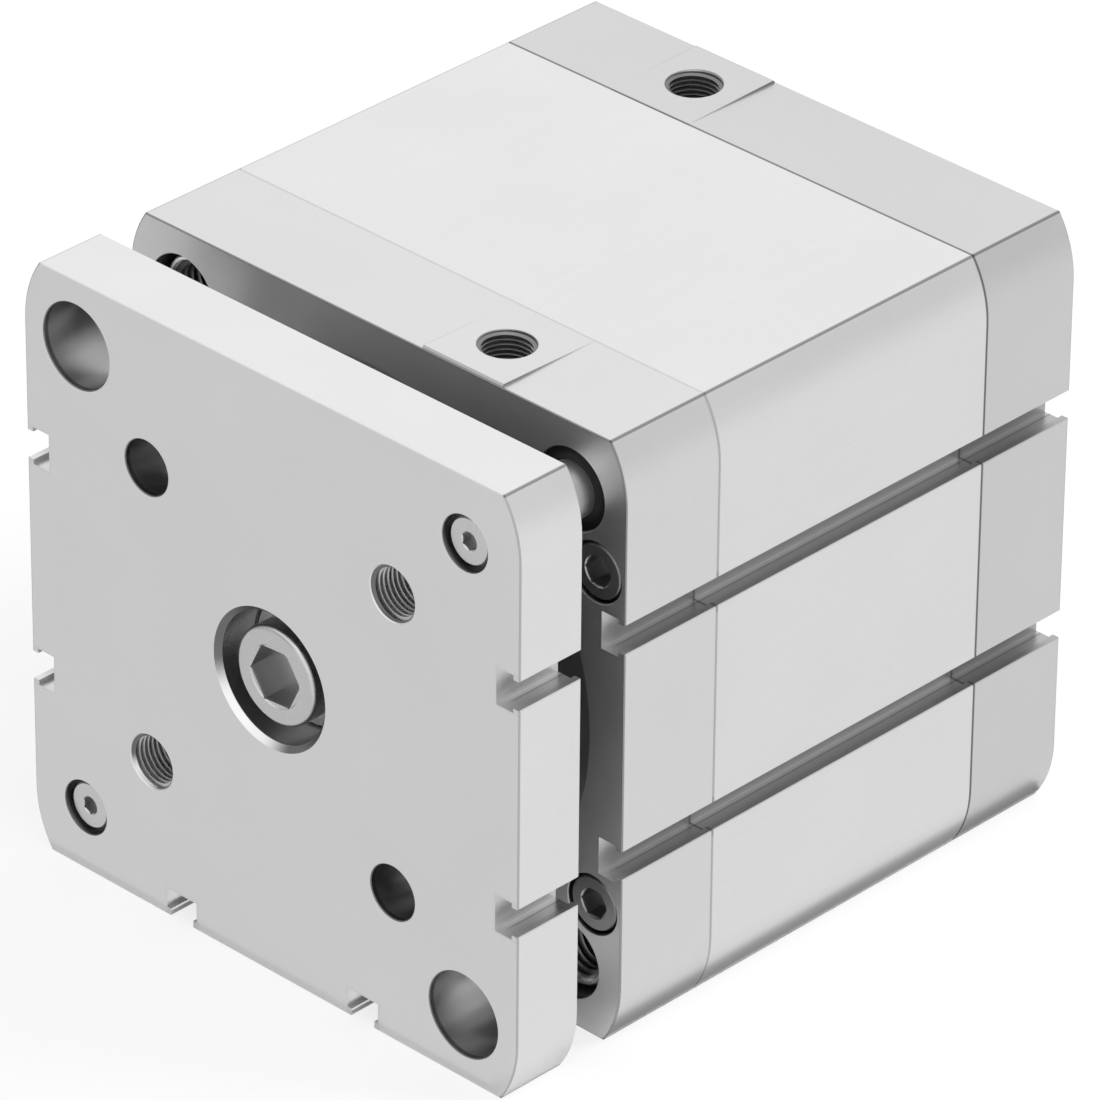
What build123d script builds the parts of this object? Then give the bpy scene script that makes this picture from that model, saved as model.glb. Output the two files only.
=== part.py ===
from build123d import *
from math import sqrt
import os

# Guided pneumatic cylinder, 100 mm bore, drawn in. Millimetres.
# X runs to the right, Y along the cylinder axis with the yoke plate at -Y, Z up with the ports on top.
# The origin is the centre of the box's base.

# Bore, and the square outline that plate, caps and barrel share
BORE_D = 100.0
BARREL_WALL = 6.75
BODY_SIZE = BORE_D + 2 * BARREL_WALL
CORNER_R = 20.0
CORNER_INSET = 3.7
EDGE_BREAK = 0.15
HALF = BODY_SIZE / 2
AXIS_Z = HALF
CORNER_START = HALF - sqrt(CORNER_INSET * (2 * CORNER_R - CORNER_INSET))

# Piston rings and end stops set the barrel's length
STROKE = 40.0
SPIGOT_L = 3.0
BUMPER_PROUD = 0.7
END_GAP = 0.3
SEAL_L = 3.0
SEAL_DEPTH = 3.8
SEAL_INSET = 1.6
SEAL_WALL = 0.9
BAND_L = 5.0
BAND_T = 1.9
PISTON_L = 2 * (SEAL_INSET + SEAL_L + SEAL_WALL) + BAND_L

# Lengths along the axis
PLATE_L = 14.0
GAP_L = 10.0
FRONT_CAP_L = 21.5
BARREL_L = STROKE + PISTON_L + 2 * (SPIGOT_L + BUMPER_PROUD + END_GAP)
REAR_CAP_L = 21.5
PLATE_FRONT = -(PLATE_L + GAP_L + FRONT_CAP_L + BARREL_L + REAR_CAP_L) / 2
PLATE_BACK = PLATE_FRONT + PLATE_L
CAP_FRONT = PLATE_BACK + GAP_L
BARREL_FRONT = CAP_FRONT + FRONT_CAP_L
BARREL_BACK = BARREL_FRONT + BARREL_L
BODY_BACK = BARREL_BACK + REAR_CAP_L

# Cuts run this far past a surface
OVER = 1.0

# Clearances on the radius: clamped or seated parts, bearings on rods, sliding rings in the bore
SEAT_FIT = 0.02
BEARING_FIT = 0.03
SLIDE_FIT = 0.05
LOOSE_FIT = 0.3

# T-slots
SLOT_OFFSET = 21.4
SLOT_MOUTH = 5.3
SLOT_INNER = 7.0
SLOT_LIP = 1.4
SLOT_DEPTH = 5.15
SLOT_BREAK = 0.2

# Piston, drawn in
PISTON_BACK = BARREL_BACK - SPIGOT_L - BUMPER_PROUD - END_GAP
PISTON_FRONT = PISTON_BACK - PISTON_L
PISTON_MID = (PISTON_FRONT + PISTON_BACK) / 2
PISTON_BREAK = 0.6
RING_FIT = 0.1
MAGNET_L = 3.0
MAGNET_W = 4.0
MAGNET_WALL = 2.1
MAGNET_SEAT_D = BORE_D - 2 * (BAND_T + MAGNET_WALL)
MAGNET_SEAT_INNER_D = MAGNET_SEAT_D - 2 * MAGNET_W

# Bumpers
BUMPER_D = 68.0
BUMPER_W = 8.0
BUMPER_INNER_D = BUMPER_D - 2 * BUMPER_W
BUMPER_SEAT = 2.5

# Static seals on the spigots
CAP_SEAL_L = 1.6
CAP_SEAL_T = 1.3
CAP_SEAL_START = 0.7

# Piston rod with a pilot at each end and female threads
ROD_D = 25.0
PILOT_D = 16.0
REAR_PILOT_L = 9.8
ROD_THREAD_D = 12.0
ROD_THREAD_L = 32.0
ROD_SEAL_START = 2.5
ROD_SEAL_L = 2.0
ROD_SEAL_T = 1.4
ROD_BREAK = 0.8
ROD_WIPER_OD = 35.0
ROD_WIPER_L = 6.0
ROD_WIPER_LIP = 2.2
ROD_BUSH_OD = 28.0
ROD_BUSH_L = 14.0
ROD_BUSH_SET = 0.4

# Screw in the rear of the piston, and the cavity that takes its head
PISTON_SCREW_HEAD_D = 18.0
PISTON_SCREW_HEAD_L = 7.5
PISTON_SCREW_HEX = 10.0
PISTON_SCREW_L = 20.0
PISTON_SCREW_SEAT = 3.5
PISTON_WEB = 2.5
HEAD_ROOM = 0.5
CAVITY_D = 26.0
CAVITY_L = 6.0

# Round recess in the front cap's face
RECESS_D = 98.0
RECESS_DEPTH = 3.0
RECESS_BREAK = 0.25

# Guide rods, at the upper right and lower left
CORNER_EDGE = 12.25
CORNER_OFFSET = HALF - CORNER_EDGE
GUIDE_D = 10.0
GUIDE_SEAT = 3.0
GUIDE_BREAK = 0.6
GUIDE_THREAD_D = 5.0
GUIDE_THREAD_L = 14.0
GUIDE_BUSH_OD = 14.0
GUIDE_FRONT_BUSH_L = 14.0
GUIDE_REAR_BUSH_L = 10.0
GUIDE_BUSH_SET = 0.3
GUIDE_WIPER_OD = 14.7
GUIDE_WIPER_SEAT = 4.2
GUIDE_WIPER_L = 3.7
GUIDE_WIPER_SET = 0.3
GUIDE_WIPER_LIP = 1.1
GUIDE_OVERRUN = 0.7
GUIDE_BACK = BARREL_FRONT + GUIDE_BUSH_SET + GUIDE_REAR_BUSH_L + GUIDE_OVERRUN + STROKE
GUIDE_CHANNEL_D = 12.5
GUIDE_CHANNEL_ROOM = 2.0

# Screws that hold the guide rods to the plate
GUIDE_SCREW_HEAD_D = 8.5
GUIDE_SCREW_HEAD_L = 3.5
GUIDE_SCREW_HEX = 3.0
GUIDE_SCREW_L = 16.0
GUIDE_SCREW_SET = 0.95
GUIDE_SCREW_POCKET_D = 10.0
GUIDE_SCREW_HOLE_D = 5.5
GUIDE_SCREW_TURN = 32.0

# Centre screw, its washer and their pocket
CENTRE_POCKET_D = 24.0
CENTRE_POCKET_BREAK = 1.0
CENTRE_SCREW_HEAD_D = 18.0
CENTRE_SCREW_HEAD_L = 7.5
CENTRE_SCREW_HEX = 10.0
CENTRE_SCREW_L = 28.0
CENTRE_SCREW_SET = 1.2
CENTRE_SCREW_ROUND = 1.0
CENTRE_SCREW_TURN = 4.0
WASHER_T = 1.8
WASHER_ROOM = 0.5
PILOT_ROOM = 0.5
FRONT_PILOT_L = PLATE_L - CENTRE_SCREW_SET - CENTRE_SCREW_HEAD_L - WASHER_T - PILOT_ROOM

# Plate holes
PLATE_HOLE_D = 15.5
FIXING_CIRCLE_D = 80.0
DOWEL_D = 10.0
FIXING_THREAD_D = 10.0
HOLE_BREAK = 0.2

# Tie screws through the front cap
TIE_SIDE_EDGE = 6.45
TIE_TOP_EDGE = 25.25
TIE_X = HALF - TIE_SIDE_EDGE
TIE_Z = HALF - TIE_TOP_EDGE
TIE_HEAD_D = 10.0
TIE_HEAD_L = 6.0
TIE_HEX = 5.0
TIE_D = 6.0
TIE_L = 27.0
TIE_HOLE_D = 6.6
TIE_POCKET_D = 11.0
TIE_SET = 0.3

# Collar screws with a female thread in the head
COLLAR_D = 12.4
COLLAR_L = 12.0
COLLAR_THREAD_D = 10.0
COLLAR_THREAD_L = 10.0
COLLAR_HEX = 6.0
COLLAR_HEX_L = 5.0
COLLAR_SET = 2.6
COLLAR_POCKET_D = 14.7
COLLAR_SHANK_D = 8.0
COLLAR_HOLE_D = 8.5
FRONT_COLLAR_SHANK_L = 23.0
REAR_COLLAR_SHANK_L = 15.0
THREAD_ROOM = 1.0

# Small bevels of screws and rings
POCKET_BREAK = 0.15
SCREW_BREAK = 0.4
HEAD_BREAK = 0.25
RING_BREAK = 0.3
HEX_BREAK = 0.2
HEX_SHARE = 0.55

# Ports on top
PORT_X = 20.0
PORT_INSET = 10.5
PORT_D = 9.73
PORT_BREAK = 0.2
PORT_L = 10.0
PASSAGE_D = 5.0
PASSAGE_EDGE = 8.5
PASSAGE_Z = BORE_D / 2 - PASSAGE_EDGE
LAND_W = 18.0
LAND_RISE = 0.45
LAND_BEVEL = 0.5

# Directions along the axis
REARWARD = 1
FORWARD = -1

# Corner centres as (x, z) from the axis
GUIDE_CORNERS = {"upper": (CORNER_OFFSET, CORNER_OFFSET), "lower": (-CORNER_OFFSET, -CORNER_OFFSET)}
SCREW_CORNERS = [(-CORNER_OFFSET, CORNER_OFFSET), (CORNER_OFFSET, -CORNER_OFFSET)]
TIE_PLACES = [(x, z) for x in (-TIE_X, TIE_X) for z in (-TIE_Z, TIE_Z)]
FIXING_OFFSET = FIXING_CIRCLE_D / 2 / sqrt(2)


def turned(profile, x=0.0, z=0.0):
    # Solid of revolution about a line along Y, from (radius, y) points
    face = make_face(Polyline(*profile, close=True))
    return Pos(x, 0, AXIS_Z + z) * revolve(face, Axis.Y)


def ring(outer_d, inner_d, start, end, x=0.0, z=0.0, bevel=0.0):
    # Plain ring, or one with bevelled outer edges
    outer = outer_d / 2
    inner = inner_d / 2
    if not bevel:
        return turned([(inner, start), (outer, start), (outer, end), (inner, end)], x, z)
    front = [(inner, start), (outer - bevel, start), (outer, start + bevel)]
    back = [(outer, end - bevel), (outer - bevel, end), (inner, end)]
    return turned(front + back, x, z)


def stepped_hole(mouth, way, steps, bevel, x=0.0, z=0.0):
    # Cutter from a mouth on the surface inwards; each step is (diameter, depth below the mouth)
    radius = steps[0][0] / 2
    wide = radius + bevel
    outside = mouth - way * OVER
    points = [(0, outside), (wide, outside), (wide, mouth), (radius, mouth + way * bevel)]
    for diameter, depth in steps:
        if diameter / 2 != points[-1][0]:
            points.append((diameter / 2, points[-1][1]))
        points.append((diameter / 2, mouth + way * depth))
    points.append((0, points[-1][1]))
    return turned(points, x, z)


def station(y):
    # Sketch plane across the axis, seen from the front: x to the right, y up, normal to the front
    return Plane(origin=(0, y, AXIS_Z), x_dir=(1, 0, 0), z_dir=(0, -1, 0))


def outline():
    # Square with bowed side corners that meet the flat top and bottom at an edge
    tall = 2 * (CORNER_START + CORNER_R)
    return Rectangle(BODY_SIZE, BODY_SIZE) & RectangleRounded(BODY_SIZE, tall, CORNER_R)


def slot_section():
    # T-slot open downwards at the bottom edge, bottom left half first
    wide = SLOT_MOUTH / 2 + SLOT_BREAK
    mouth = SLOT_MOUTH / 2
    inner = SLOT_INNER / 2
    left = [(-wide, -OVER), (-wide, 0), (-mouth, SLOT_BREAK), (-mouth, SLOT_LIP), (-inner, SLOT_LIP)]
    left.append((-inner, SLOT_DEPTH))
    right = [(-x, y) for x, y in reversed(left)]
    return make_face(Polyline(*left, *right, close=True))


def slots(front, back):
    # Two T-slots in each side and in the bottom
    section = Sketch()
    for turn in (0, 90, -90):
        for offset in (-SLOT_OFFSET, SLOT_OFFSET):
            section += Rot(0, 0, turn) * Pos(offset, -HALF) * slot_section()
    return extrude(station(back + OVER) * section, amount=back - front + 2 * OVER)


def block(front, back):
    body = extrude(station(back) * outline(), amount=back - front)
    body = chamfer(body.faces().filter_by(Axis.Y).edges(), EDGE_BREAK)
    return body - slots(front, back)


def hexagon(width, top, bottom, turn=0.0):
    # Hexagonal cutter along Y between two depths, turned by an angle seen from the front
    section = RegularPolygon(width / 2, 6, major_radius=False, rotation=turn)
    return extrude(Plane((0, bottom, 0), (1, 0, 0), (0, -1, 0)) * section, amount=bottom - top)


def socket(width, depth, turn):
    # Hexagon socket in a face at y = 0, with a bevelled mouth
    corner = width / sqrt(3)
    mouth = [(0, -OVER), (corner, -OVER), (corner, 0), (corner - HEX_BREAK, HEX_BREAK), (0, HEX_BREAK)]
    return hexagon(width, -OVER, depth, turn) + revolve(make_face(Polyline(*mouth, close=True)), Axis.Y)


def socket_screw(head_d, head_l, hex_width, shank_d, shank_l, turn=0.0):
    # Head face at y = 0, shank to +Y
    head = head_d / 2
    shank = shank_d / 2
    end = head_l + shank_l
    points = [(0, 0), (head - HEAD_BREAK, 0), (head, HEAD_BREAK), (head, head_l), (shank, head_l)]
    points += [(shank, end - SCREW_BREAK), (shank - SCREW_BREAK, end), (0, end)]
    body = revolve(make_face(Polyline(*points, close=True)), Axis.Y)
    return body - socket(hex_width, head_l * HEX_SHARE, turn)


def collar_screw(shank_l):
    # Collar with a female thread, then a hexagon socket, then the shank to +Y
    collar = COLLAR_D / 2
    thread = COLLAR_THREAD_D / 2
    shank = COLLAR_SHANK_D / 2
    end = COLLAR_L + shank_l
    points = [(0, COLLAR_THREAD_L), (thread, COLLAR_THREAD_L), (thread, SCREW_BREAK)]
    points += [(thread + SCREW_BREAK, 0), (collar - RING_BREAK, 0), (collar, RING_BREAK)]
    points += [(collar, COLLAR_L), (shank, COLLAR_L), (shank, end - SCREW_BREAK)]
    points += [(shank - SCREW_BREAK, end), (0, end)]
    body = revolve(make_face(Polyline(*points, close=True)), Axis.Y)
    return body - hexagon(COLLAR_HEX, COLLAR_THREAD_L - OVER, COLLAR_THREAD_L + COLLAR_HEX_L)


def at(piece, x, y, z):
    return Pos(x, y, AXIS_Z + z) * piece


def group(pieces):
    return Compound(children=[piece.solid() for piece in pieces])


# Blocks

def yoke_plate():
    body = block(PLATE_FRONT, PLATE_BACK)
    through = PLATE_L + OVER
    seat = CENTRE_SCREW_SET + CENTRE_SCREW_HEAD_L + WASHER_T
    pilot = PILOT_D + 2 * SEAT_FIT
    centre = [(CENTRE_POCKET_D, seat), (pilot, through)]
    body -= stepped_hole(PLATE_FRONT, REARWARD, centre, CENTRE_POCKET_BREAK)
    for x, z in SCREW_CORNERS:
        body -= stepped_hole(PLATE_FRONT, REARWARD, [(PLATE_HOLE_D, through)], HOLE_BREAK, x, z)
    rod_seat = GUIDE_D + 2 * SEAT_FIT
    head_seat = GUIDE_SCREW_SET + GUIDE_SCREW_HEAD_L
    for x, z in GUIDE_CORNERS.values():
        steps = [(GUIDE_SCREW_POCKET_D, head_seat), (GUIDE_SCREW_HOLE_D, PLATE_L - GUIDE_SEAT)]
        steps.append((rod_seat, through))
        body -= stepped_hole(PLATE_FRONT, REARWARD, steps, POCKET_BREAK, x, z)
    for side in (-1, 1):
        x = side * FIXING_OFFSET
        dowel = [(DOWEL_D, through)]
        thread = [(FIXING_THREAD_D, through)]
        body -= stepped_hole(PLATE_FRONT, REARWARD, dowel, HOLE_BREAK, x, -x)
        body -= stepped_hole(PLATE_FRONT, REARWARD, thread, HOLE_BREAK, x, x)
    return body


def port_land(seam, way, port_x, outer_face):
    # Raised land around a port: level with the barrel at the seam, highest at the cap's outer end
    root = BODY_SIZE - EDGE_BREAK
    wedge = [(outer_face, root), (outer_face + way * LAND_BEVEL, BODY_SIZE + LAND_RISE)]
    wedge += [(seam, BODY_SIZE), (seam, root)]
    land = extrude(make_face(Plane.YZ * Polyline(*wedge, close=True)), amount=LAND_W / 2, both=True)
    return Pos(port_x, 0, 0) * land


def cap_end(body, seam, way, port_x, outer_face):
    # What both caps have: spigot with its seal groove, bumper seat, port, air passage and port land
    end = seam + way * SPIGOT_L
    body += ring(BORE_D - 2 * SEAT_FIT, 0, seam - way * OVER, end)
    body += port_land(seam, way, port_x, outer_face)
    groove = seam + way * CAP_SEAL_START
    groove_end = groove + way * (CAP_SEAL_L + RING_FIT)
    body -= ring(BORE_D + OVER, BORE_D - 2 * CAP_SEAL_T, groove, groove_end)
    seat_end = end - way * BUMPER_SEAT
    body -= ring(BUMPER_D, BUMPER_INNER_D, end + way * OVER, seat_end)
    port_y = outer_face + way * PORT_INSET
    thread = PORT_D / 2
    wide = thread + PORT_BREAK
    land_l = abs(seam - outer_face)
    top = BODY_SIZE + LAND_RISE * (land_l - PORT_INSET) / (land_l - LAND_BEVEL)
    drop = top - PORT_L
    points = [(0, BODY_SIZE + OVER), (wide, BODY_SIZE + OVER), (wide, top), (thread, top - PORT_BREAK)]
    points += [(thread, drop), (PASSAGE_D / 2, drop), (PASSAGE_D / 2, AXIS_Z + PASSAGE_Z - PASSAGE_D / 2)]
    points.append((0, points[-1][1]))
    port = revolve(make_face(Plane.XZ * Polyline(*points, close=True)), Axis.Z)
    body -= Pos(port_x, port_y, 0) * port
    body -= ring(PASSAGE_D, 0, port_y, end + way * OVER, port_x, PASSAGE_Z)
    return body


def front_cap():
    body = cap_end(block(CAP_FRONT, BARREL_FRONT), BARREL_FRONT, REARWARD, PORT_X, CAP_FRONT)
    through = FRONT_CAP_L + SPIGOT_L + OVER
    rod_bore = [(RECESS_D, RECESS_DEPTH), (ROD_WIPER_OD, RECESS_DEPTH + ROD_WIPER_L)]
    rod_bore.append((ROD_BUSH_OD, through))
    body -= stepped_hole(CAP_FRONT, REARWARD, rod_bore, RECESS_BREAK)
    for x, z in GUIDE_CORNERS.values():
        steps = [(GUIDE_WIPER_OD, GUIDE_WIPER_SEAT), (GUIDE_BUSH_OD, through)]
        body -= stepped_hole(CAP_FRONT, REARWARD, steps, POCKET_BREAK, x, z)
    for x, z in SCREW_CORNERS:
        steps = [(COLLAR_POCKET_D, COLLAR_SET + COLLAR_L), (COLLAR_HOLE_D, through)]
        body -= stepped_hole(CAP_FRONT, REARWARD, steps, POCKET_BREAK, x, z)
    for x, z in TIE_PLACES:
        steps = [(TIE_POCKET_D, TIE_SET + TIE_HEAD_L), (TIE_HOLE_D, through)]
        body -= stepped_hole(CAP_FRONT, REARWARD, steps, POCKET_BREAK, x, z)
    return body


def barrel():
    body = block(BARREL_FRONT, BARREL_BACK)
    body -= ring(BORE_D, 0, BARREL_FRONT - OVER, BARREL_BACK + OVER)
    bush_seat = GUIDE_BUSH_SET + GUIDE_REAR_BUSH_L
    channel = GUIDE_BACK + GUIDE_CHANNEL_ROOM - BARREL_FRONT
    front_thread = COLLAR_SET + COLLAR_L + FRONT_COLLAR_SHANK_L + THREAD_ROOM - FRONT_CAP_L
    rear_thread = COLLAR_SET + COLLAR_L + REAR_COLLAR_SHANK_L + THREAD_ROOM - REAR_CAP_L
    tie_thread = TIE_SET + TIE_HEAD_L + TIE_L + THREAD_ROOM - FRONT_CAP_L
    for x, z in GUIDE_CORNERS.values():
        steps = [(GUIDE_BUSH_OD, bush_seat), (GUIDE_CHANNEL_D, channel)]
        body -= stepped_hole(BARREL_FRONT, REARWARD, steps, RING_BREAK, x, z)
    for x, z in SCREW_CORNERS:
        steps = [(COLLAR_SHANK_D, front_thread)]
        body -= stepped_hole(BARREL_FRONT, REARWARD, steps, SCREW_BREAK, x, z)
    for x, z in SCREW_CORNERS + list(GUIDE_CORNERS.values()):
        steps = [(COLLAR_SHANK_D, rear_thread)]
        body -= stepped_hole(BARREL_BACK, FORWARD, steps, SCREW_BREAK, x, z)
    for x, z in TIE_PLACES:
        body -= stepped_hole(BARREL_FRONT, REARWARD, [(TIE_D, tie_thread)], SCREW_BREAK, x, z)
    return body


def rear_cap():
    body = cap_end(block(BARREL_BACK, BODY_BACK), BARREL_BACK, FORWARD, -PORT_X, BODY_BACK)
    spigot_end = BARREL_BACK - SPIGOT_L
    body -= stepped_hole(spigot_end, REARWARD, [(CAVITY_D, CAVITY_L)], SCREW_BREAK)
    for x, z in SCREW_CORNERS + list(GUIDE_CORNERS.values()):
        steps = [(COLLAR_POCKET_D, COLLAR_SET + COLLAR_L), (COLLAR_HOLE_D, REAR_CAP_L + OVER)]
        body -= stepped_hole(BODY_BACK, FORWARD, steps, POCKET_BREAK, x, z)
    return body


# Rods, bushes and wipers

def piston_rod():
    rod = ROD_D / 2
    pilot = PILOT_D / 2
    thread = ROD_THREAD_D / 2
    front = PLATE_BACK - FRONT_PILOT_L
    back = PISTON_FRONT + REAR_PILOT_L
    outside = [(thread + SCREW_BREAK, front), (pilot - RING_BREAK, front), (pilot, front + RING_BREAK)]
    outside += [(pilot, PLATE_BACK), (rod - ROD_BREAK, PLATE_BACK), (rod, PLATE_BACK + ROD_BREAK)]
    outside += [(rod, PISTON_FRONT), (pilot, PISTON_FRONT), (pilot, back - RING_BREAK)]
    outside += [(pilot - RING_BREAK, back), (thread + SCREW_BREAK, back)]
    rear_thread = [(thread, back - SCREW_BREAK), (thread, back - ROD_THREAD_L), (0, back - ROD_THREAD_L)]
    front_thread = [(0, front + ROD_THREAD_L), (thread, front + ROD_THREAD_L), (thread, front + SCREW_BREAK)]
    return turned(outside + rear_thread + front_thread)


def guide_rod(place):
    x, z = GUIDE_CORNERS[place]
    rod = GUIDE_D / 2
    thread = GUIDE_THREAD_D / 2
    front = PLATE_BACK - GUIDE_SEAT
    points = [(0, front + GUIDE_THREAD_L), (thread, front + GUIDE_THREAD_L), (thread, front + RING_BREAK)]
    points += [(thread + RING_BREAK, front), (rod - RING_BREAK, front), (rod, front + RING_BREAK)]
    points += [(rod, GUIDE_BACK - GUIDE_BREAK), (rod - GUIDE_BREAK, GUIDE_BACK), (0, GUIDE_BACK)]
    return turned(points, x, z)


def lipped_ring(outer_d, inner_d, start, length, lip, x=0.0, z=0.0):
    # Wiper: ring whose front slopes inwards to a lip on the rod
    outer = outer_d / 2
    inner = inner_d / 2
    points = [(inner, start), (inner + RING_BREAK, start), (inner + lip, start + lip / 2)]
    points += [(outer, start + lip / 2), (outer, start + length), (inner, start + length)]
    return turned(points, x, z)


def rod_wiper_seal():
    start = CAP_FRONT + RECESS_DEPTH + RING_FIT
    inner = ROD_D + 2 * SLIDE_FIT
    outer = ROD_WIPER_OD - 2 * SEAT_FIT
    return lipped_ring(outer, inner, start, ROD_WIPER_L - RING_FIT, ROD_WIPER_LIP)


def rod_bush():
    start = CAP_FRONT + RECESS_DEPTH + ROD_WIPER_L + ROD_BUSH_SET
    inner = ROD_D + 2 * BEARING_FIT
    return ring(ROD_BUSH_OD - 2 * SEAT_FIT, inner, start, start + ROD_BUSH_L)


def guide_wiper(place):
    x, z = GUIDE_CORNERS[place]
    inner = GUIDE_D + 2 * SLIDE_FIT
    outer = GUIDE_WIPER_OD - 2 * SEAT_FIT
    start = CAP_FRONT + GUIDE_WIPER_SET
    return lipped_ring(outer, inner, start, GUIDE_WIPER_L, GUIDE_WIPER_LIP, x, z)


def guide_bush(place, start, length):
    x, z = GUIDE_CORNERS[place]
    inner = GUIDE_D + 2 * BEARING_FIT
    return ring(GUIDE_BUSH_OD - 2 * SEAT_FIT, inner, start, start + length, x, z)


# Piston

def disc(front, way, bore_steps):
    # Half of the piston: seal groove on the outside, half of the band and magnet seats at the joint
    rim = BORE_D / 2 - LOOSE_FIT
    groove = BORE_D / 2 - SEAL_DEPTH
    band = BORE_D / 2 - BAND_T
    seal = front + way * SEAL_INSET
    seal_end = seal + way * (SEAL_L + RING_FIT)
    band_end = PISTON_MID - way * (BAND_L + RING_FIT) / 2
    magnet_end = PISTON_MID - way * (MAGNET_L + RING_FIT) / 2
    bore = [(diameter / 2, y) for diameter, y in bore_steps]
    face = [(rim - PISTON_BREAK, front), (rim, front + way * PISTON_BREAK), (rim, seal)]
    edge = [(groove, seal), (groove, seal_end), (rim, seal_end), (rim, band_end), (band, band_end)]
    joint = [(band, PISTON_MID), (MAGNET_SEAT_D / 2, PISTON_MID), (MAGNET_SEAT_D / 2, magnet_end)]
    joint += [(MAGNET_SEAT_INNER_D / 2, magnet_end), (MAGNET_SEAT_INNER_D / 2, PISTON_MID)]
    return turned(bore + face + edge + joint)


def piston_front_disc():
    pilot = PILOT_D + 2 * SEAT_FIT
    relief = PILOT_D + 2 * (ROD_SEAL_T + SEAT_FIT)
    seal = PISTON_FRONT + ROD_SEAL_START
    seal_end = seal + ROD_SEAL_L + RING_FIT
    steps = [(pilot, PISTON_MID), (pilot, seal_end), (relief, seal_end), (relief, seal), (pilot, seal)]
    return disc(PISTON_FRONT, REARWARD, steps + [(pilot, PISTON_FRONT)])


def piston_rear_disc():
    pilot = PILOT_D + 2 * SEAT_FIT
    hole = ROD_THREAD_D + 2 * LOOSE_FIT
    pocket = PISTON_SCREW_HEAD_D + 2 * HEAD_ROOM
    seat = PISTON_BACK - PISTON_SCREW_SEAT
    pilot_end = seat - PISTON_WEB
    steps = [(pilot, PISTON_MID), (pilot, pilot_end), (hole, pilot_end), (hole, seat)]
    return disc(PISTON_BACK, FORWARD, steps + [(pocket, seat), (pocket, PISTON_BACK)])


def piston_rod_seal():
    start = PISTON_FRONT + ROD_SEAL_START + RING_FIT / 2
    outer = PILOT_D + 2 * ROD_SEAL_T
    return ring(outer, PILOT_D + 2 * SEAT_FIT, start, start + ROD_SEAL_L)


def piston_magnet():
    start = PISTON_MID - MAGNET_L / 2
    return ring(MAGNET_SEAT_D - 2 * RING_FIT, MAGNET_SEAT_INNER_D + 2 * RING_FIT, start, start + MAGNET_L)


def piston_seal(front, way):
    # Lip seal: V-shaped notch on the pressure side
    outer = BORE_D / 2 - SLIDE_FIT
    inner = BORE_D / 2 - SEAL_DEPTH + RING_FIT
    middle = (outer + inner) / 2
    start = front + way * (SEAL_INSET + RING_FIT / 2)
    end = start + way * SEAL_L
    notch = start + way * SEAL_L / 2
    return turned([(inner, start), (middle, notch), (outer, start), (outer, end), (inner, end)])


def piston_guide_band():
    start = PISTON_MID - BAND_L / 2
    outer = BORE_D - 2 * SLIDE_FIT
    return ring(outer, BORE_D - 2 * BAND_T + 2 * SEAT_FIT, start, start + BAND_L)


# End stops and static seals

def bumper(seam, way):
    end = seam + way * (SPIGOT_L + BUMPER_PROUD)
    floor = seam + way * (SPIGOT_L - BUMPER_SEAT)
    outer = BUMPER_D - 2 * RING_FIT
    inner = BUMPER_INNER_D + 2 * RING_FIT
    return ring(outer, inner, floor, end)


def cap_seal(seam, way):
    start = seam + way * (CAP_SEAL_START + RING_FIT / 2)
    outer = BORE_D - 2 * SEAT_FIT
    inner = BORE_D - 2 * CAP_SEAL_T + 2 * SEAT_FIT
    return ring(outer, inner, start, start + way * CAP_SEAL_L)


# Fasteners

def centre_screw():
    head = CENTRE_SCREW_HEAD_D / 2
    shank = ROD_THREAD_D / 2
    end = CENTRE_SCREW_HEAD_L + CENTRE_SCREW_L
    points = [(0, 0), (head, 0), (head, CENTRE_SCREW_HEAD_L), (shank, CENTRE_SCREW_HEAD_L)]
    points += [(shank, end - SCREW_BREAK), (shank - SCREW_BREAK, end), (0, end)]
    body = revolve(make_face(Polyline(*points, close=True)), Axis.Y)
    body = fillet(body.faces().sort_by(Axis.Y)[0].edges(), CENTRE_SCREW_ROUND)
    body -= socket(CENTRE_SCREW_HEX, CENTRE_SCREW_HEAD_L * HEX_SHARE, CENTRE_SCREW_TURN)
    return at(body, 0, PLATE_FRONT + CENTRE_SCREW_SET, 0)


def centre_washer():
    start = PLATE_FRONT + CENTRE_SCREW_SET + CENTRE_SCREW_HEAD_L
    hole = ROD_THREAD_D + 2 * WASHER_ROOM
    return ring(CENTRE_POCKET_D - 2 * RING_FIT, hole, start, start + WASHER_T, bevel=RING_BREAK)


def guide_rod_screws():
    head = (GUIDE_SCREW_HEAD_D, GUIDE_SCREW_HEAD_L, GUIDE_SCREW_HEX)
    screw = socket_screw(*head, GUIDE_THREAD_D, GUIDE_SCREW_L, GUIDE_SCREW_TURN)
    y = PLATE_FRONT + GUIDE_SCREW_SET
    return group([at(screw, x, y, z) for x, z in GUIDE_CORNERS.values()])


def tie_screws():
    screw = socket_screw(TIE_HEAD_D, TIE_HEAD_L, TIE_HEX, TIE_D, TIE_L)
    return group([at(screw, x, CAP_FRONT + TIE_SET, z) for x, z in TIE_PLACES])


def front_corner_screws():
    screw = collar_screw(FRONT_COLLAR_SHANK_L)
    return group([at(screw, x, CAP_FRONT + COLLAR_SET, z) for x, z in SCREW_CORNERS])


def rear_corner_screws():
    screw = Rot(0, 0, 180) * collar_screw(REAR_COLLAR_SHANK_L)
    places = SCREW_CORNERS + list(GUIDE_CORNERS.values())
    return group([at(screw, x, BODY_BACK - COLLAR_SET, z) for x, z in places])


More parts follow.
